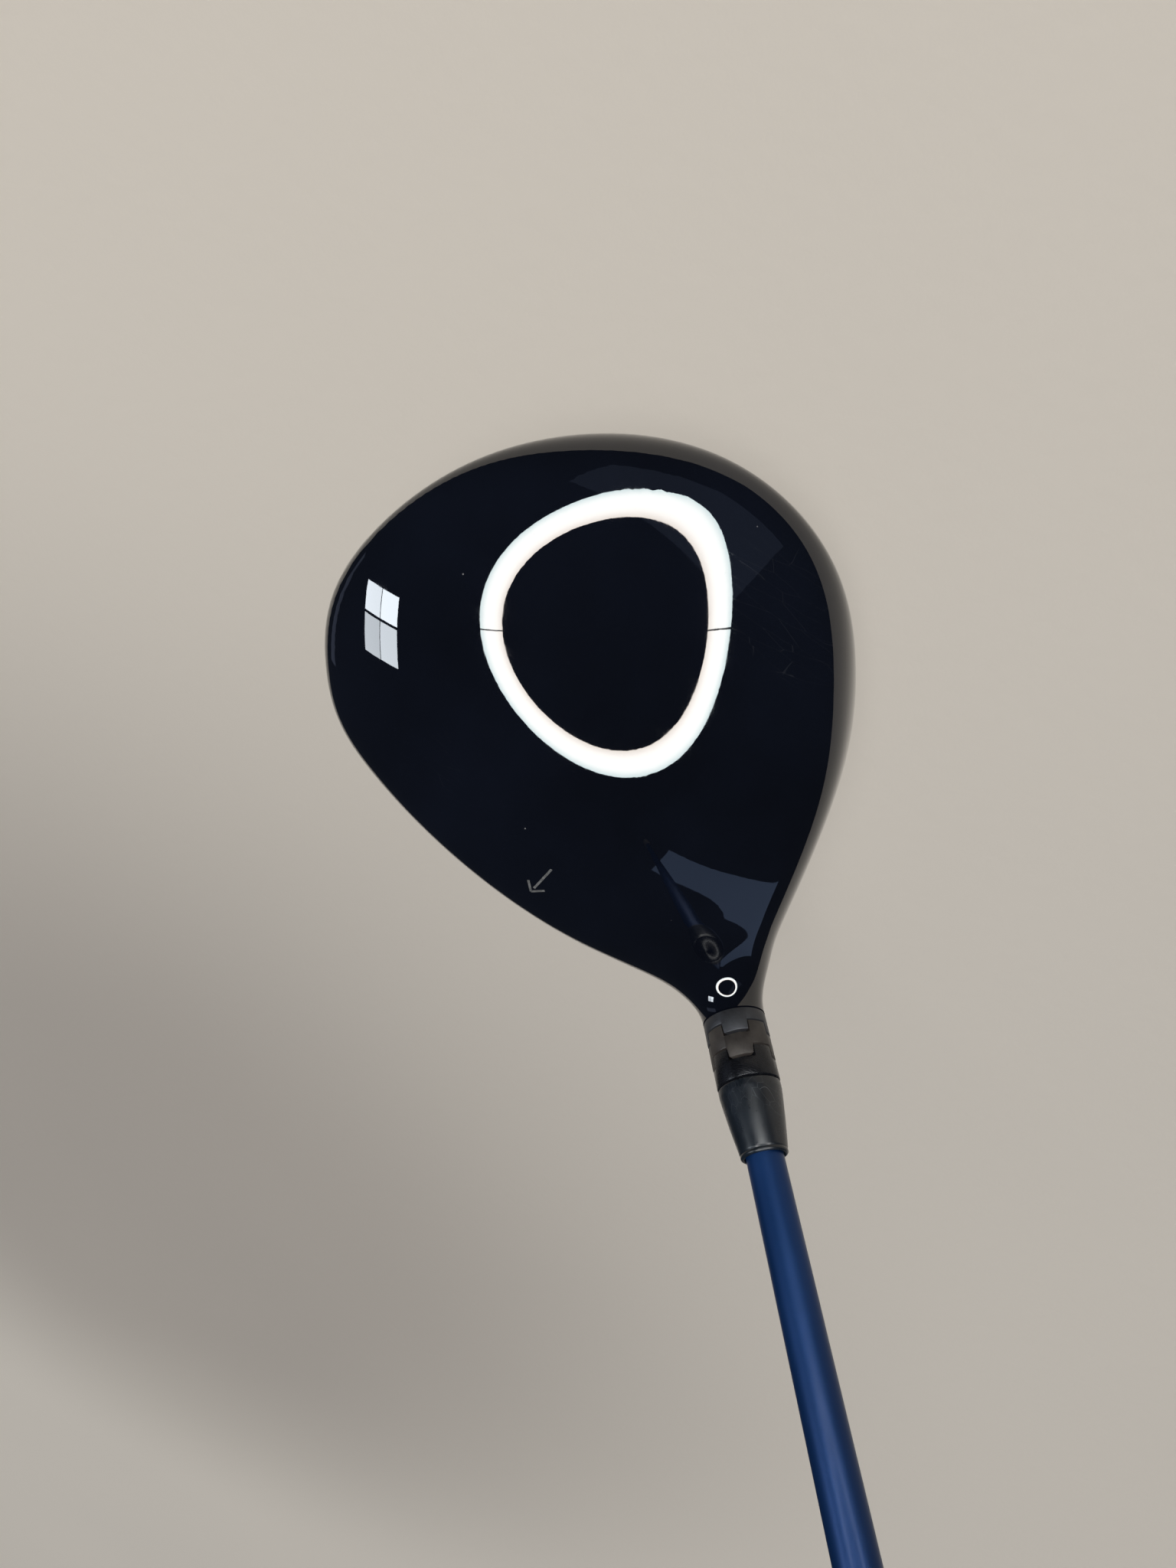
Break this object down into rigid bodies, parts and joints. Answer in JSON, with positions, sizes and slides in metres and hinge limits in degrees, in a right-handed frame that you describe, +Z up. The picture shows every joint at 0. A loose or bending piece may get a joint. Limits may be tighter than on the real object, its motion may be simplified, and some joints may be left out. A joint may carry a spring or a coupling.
{
  "type": "golf driver",
  "caption": "Right-handed golf driver: hollow gloss-black head, adjustable hosel with index ring and screw-held sleeve, rear weight, tapered blue graphite shaft, rubber grip.",
  "frame": {"origin": "the point of the sole that rests on the ground, on the small flat under the head", "axes": "+Z up in the address position; the face looks along -Y with 10 degrees of loft; +X to the heel, where the shaft rises at 58.5 degrees to the ground"},
  "size_m": [0.7163, 0.1052, 0.9908],
  "materials": {
    "body_paint": "gloss black paint over cast titanium",
    "crown_paint": "deep gloss black paint under clear coat",
    "face_metal": "fine brushed titanium, dark grey",
    "hot_melt": "soft translucent hot-melt resin",
    "collar_metal": "charcoal anodised, satin, worn",
    "titanium_bolt": "satin titanium",
    "bare_aluminium": "turned",
    "white_nylon": "natural nylon",
    "weight_steel": "satin turned steel",
    "ring_polymer": "dark brown-grey satin, rubbed",
    "sleeve_anodised": "black anodised, semi-gloss",
    "ferrule_plastic": "blue-black gloss with fine scratches",
    "shaft_paint": "metallic royal blue lacquer over graphite",
    "plug_plastic": "moulded",
    "tape_paper": "paper tape",
    "grip_rubber": "textured matt rubber",
    "cap_rubber": "smooth matt rubber"
  },
  "bodies": {
    "head": {"head_body": "body_paint", "crown_shell": "crown_paint", "face_plate": "face_metal", "hot_melt_pad": "hot_melt", "hosel_collar": "collar_metal", "screw_retainer": "white_nylon"},
    "shaft_assembly": {"index_ring": "ring_polymer", "adapter_sleeve": "sleeve_anodised", "ferrule": "ferrule_plastic", "shaft": "shaft_paint", "shaft_tip_plug": "plug_plastic", "grip_tape": "tape_paper", "grip": "grip_rubber", "grip_cap": "cap_rubber"},
    "hosel_washer": {"hosel_screw_washer": "bare_aluminium"},
    "hosel_screw": {"hosel_screw": "titanium_bolt"},
    "weight_washer": {"rear_weight_washer": "white_nylon"},
    "rear_weight": {"rear_weight": "weight_steel"}
  },
  "joints": [
    {"name": "shaft_release", "type": "slide", "parent": "head", "child": "shaft_assembly", "axis": [0.5225, 0, 0.8526], "range_m": [0, 0.036]},
    {"name": "hosel_screw_turn", "type": "hinge", "parent": "hosel_washer", "child": "hosel_screw", "pos_m": [0.04124, -0.0237, 0.02046], "axis": [-0.5225, 0, -0.8526], "range_deg": [0, 1840]},
    {"name": "hosel_screw_travel", "type": "slide", "parent": "head", "child": "hosel_washer", "axis": [-0.5225, 0, -0.8526], "range_m": [0, 0.004]},
    {"name": "rear_weight_turn", "type": "hinge", "parent": "weight_washer", "child": "rear_weight", "pos_m": [-0.002, 0.047, 0.0053], "axis": [-0.0146, 0.2818, -0.9593], "range_deg": [0, 1475]},
    {"name": "rear_weight_travel", "type": "slide", "parent": "head", "child": "weight_washer", "axis": [-0.0146, 0.2818, -0.9593], "range_m": [0, 0.004]}
  ],
  "couplings": [
    {"joint": "hosel_screw_turn", "follows": "hosel_screw_travel", "rad_per_m": 7854},
    {"joint": "rear_weight_turn", "follows": "rear_weight_travel", "rad_per_m": 6283.2}
  ]
}
